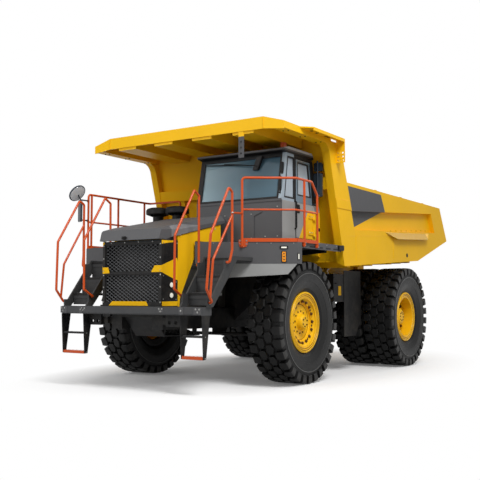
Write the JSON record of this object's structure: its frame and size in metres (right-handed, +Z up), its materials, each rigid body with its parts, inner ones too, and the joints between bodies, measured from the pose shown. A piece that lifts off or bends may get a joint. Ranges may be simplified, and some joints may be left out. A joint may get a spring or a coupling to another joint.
{
  "type": "rigid dump truck",
  "caption": "Rigid frame dump truck with steered front wheels, twin rear wheels, side cab, opening hood and a tipping body with a ribbed canopy.",
  "frame": {"origin": "on the ground, at the middle of the truck's length and width, rest pose", "axes": "+Z up, front of the truck towards -Y, +X the truck's left side"},
  "size_m": [4.66, 9.8348, 4.6098],
  "materials": {
    "amber": "amber lens",
    "black": "satin black paint",
    "chrome": "chromed rod",
    "dark_grey": "matte paint",
    "engine": "cast",
    "fabric": "woven cloth",
    "glass": "tinted glass",
    "light_grey": "satin paint",
    "mesh": "black mesh",
    "orange": "safety orange paint",
    "plastic": "grained plastic",
    "tyre": "rubber",
    "yellow": "satin paint"
  },
  "bodies": {
    "truck": {"air_cleaners": "black", "battery_box": "dark_grey", "beacon": "amber", "belly_plate": "dark_grey", "boarding_ladders": "black", "cab_glass": "glass", "cab_roof": "light_grey", "cab_shell": "light_grey", "chassis_frame": "black", "cowl": "dark_grey", "dashboard": "plastic", "deck_supports": "black", "decks": "dark_grey", "driveline": "engine", "engine_block": "engine", "fender_panels": "light_grey", "front_bumper": "dark_grey", "fuel_tank": "black", "grilles": "mesh", "handrails": "orange", "hydraulic_tank": "black", "mirrors": "black", "mudguards": "black", "nose_frame": "black", "nose_sides": "yellow", "radiator": "black", "rear_axle": "black", "seat_frame": "plastic", "seat_pads": "fabric", "stairs": "dark_grey", "suspension_struts": "black", "tow_jaw": "black", "tow_lugs": "black"},
    "front_wheel_left": {"front_tyre_left": "tyre", "front_rim_left": "yellow"},
    "front_wheel_right": {"front_tyre_right": "tyre", "front_rim_right": "yellow"},
    "rear_wheels_left": {"rear_tyres_left": "tyre", "rear_rims_left": "yellow"},
    "rear_wheels_right": {"rear_tyres_right": "tyre", "rear_rims_right": "yellow"},
    "knuckle_left": {"knuckle_left": "black"},
    "knuckle_right": {"knuckle_right": "black"},
    "tie_rod": {"tie_rod": "black"},
    "hood": {"hood": "dark_grey"},
    "cab_door": {"cab_door": "light_grey", "door_glass": "glass"},
    "dump_body": {"dump_floor": "yellow", "dump_beams": "yellow", "dump_side_left": "yellow", "dump_side_right": "yellow", "dump_front_wall": "yellow", "dump_canopy": "yellow"},
    "hoist_tube_left": {"hoist_tube_left": "black"},
    "hoist_stage_left": {"hoist_stage_left": "chrome"},
    "hoist_rod_left": {"hoist_rod_left": "chrome"},
    "hoist_tube_right": {"hoist_tube_right": "black"},
    "hoist_stage_right": {"hoist_stage_right": "chrome"},
    "hoist_rod_right": {"hoist_rod_right": "chrome"}
  },
  "joints": [
    {"name": "dump_hinge", "type": "hinge", "parent": "truck", "child": "dump_body", "pos_m": [0, 2.95, 1.86], "axis": [-1, 0, 0], "range_deg": [0, 55]},
    {"name": "left_steer", "type": "hinge", "parent": "truck", "child": "knuckle_left", "pos_m": [1.18, -2.34, 1.085], "axis": [0, 0, 1], "range_deg": [-35, 35]},
    {"name": "right_steer", "type": "hinge", "parent": "truck", "child": "knuckle_right", "pos_m": [-1.18, -2.34, 1.085], "axis": [0, 0, 1], "range_deg": [-35.5, 35.5]},
    {"name": "tie_rod_pivot", "type": "hinge", "parent": "knuckle_left", "child": "tie_rod", "pos_m": [1.18, -1.92, 0.812], "axis": [0, 0, 1], "range_deg": [-35.5, 35.5]},
    {"name": "front_left_spin", "type": "hinge", "parent": "knuckle_left", "child": "front_wheel_left", "pos_m": [1.18, -2.34, 1.085], "axis": [1, 0, 0], "continuous": true},
    {"name": "front_right_spin", "type": "hinge", "parent": "knuckle_right", "child": "front_wheel_right", "pos_m": [-1.18, -2.34, 1.085], "axis": [1, 0, 0], "continuous": true},
    {"name": "rear_left_spin", "type": "hinge", "parent": "truck", "child": "rear_wheels_left", "pos_m": [1.5, 2.02, 1.085], "axis": [1, 0, 0], "continuous": true},
    {"name": "rear_right_spin", "type": "hinge", "parent": "truck", "child": "rear_wheels_right", "pos_m": [-1.5, 2.02, 1.085], "axis": [1, 0, 0], "continuous": true},
    {"name": "hood_hinge", "type": "hinge", "parent": "truck", "child": "hood", "pos_m": [0, -3.05, 2.97], "axis": [-1, 0, 0], "range_deg": [0, 45]},
    {"name": "door_hinge", "type": "hinge", "parent": "truck", "child": "cab_door", "pos_m": [1.814, -1.746, 2.9], "axis": [0, 0, 1], "range_deg": [0, 85]},
    {"name": "hoist_pivot_left", "type": "hinge", "parent": "truck", "child": "hoist_tube_left", "pos_m": [0.69, 0.5, 0.88], "axis": [-1, 0, 0], "range_deg": [0, 9.92]},
    {"name": "hoist_stage_slide_left", "type": "slide", "parent": "hoist_tube_left", "child": "hoist_stage_left", "axis": [0, 0.3519, 0.936], "range_m": [0, 0.901]},
    {"name": "hoist_rod_slide_left", "type": "slide", "parent": "hoist_stage_left", "child": "hoist_rod_left", "axis": [0, 0.3519, 0.936], "range_m": [0, 0.901]},
    {"name": "hoist_pivot_right", "type": "hinge", "parent": "truck", "child": "hoist_tube_right", "pos_m": [-0.69, 0.5, 0.88], "axis": [-1, 0, 0], "range_deg": [0, 9.92]},
    {"name": "hoist_stage_slide_right", "type": "slide", "parent": "hoist_tube_right", "child": "hoist_stage_right", "axis": [0, 0.3519, 0.936], "range_m": [0, 0.901]},
    {"name": "hoist_rod_slide_right", "type": "slide", "parent": "hoist_stage_right", "child": "hoist_rod_right", "axis": [0, 0.3519, 0.936], "range_m": [0, 0.901]}
  ],
  "couplings": [
    {"joint": "right_steer", "follows": "left_steer", "ratio": 1},
    {"joint": "tie_rod_pivot", "follows": "left_steer", "ratio": -1},
    {"joint": "hoist_pivot_left", "follows": "dump_hinge", "ratio": 0.17486},
    {"joint": "hoist_stage_slide_left", "follows": "dump_hinge", "m_per_rad": 0.93453},
    {"joint": "hoist_rod_slide_left", "follows": "dump_hinge", "m_per_rad": 0.93453},
    {"joint": "hoist_pivot_right", "follows": "dump_hinge", "ratio": 0.17486},
    {"joint": "hoist_stage_slide_right", "follows": "dump_hinge", "m_per_rad": 0.93453},
    {"joint": "hoist_rod_slide_right", "follows": "dump_hinge", "m_per_rad": 0.93453}
  ]
}
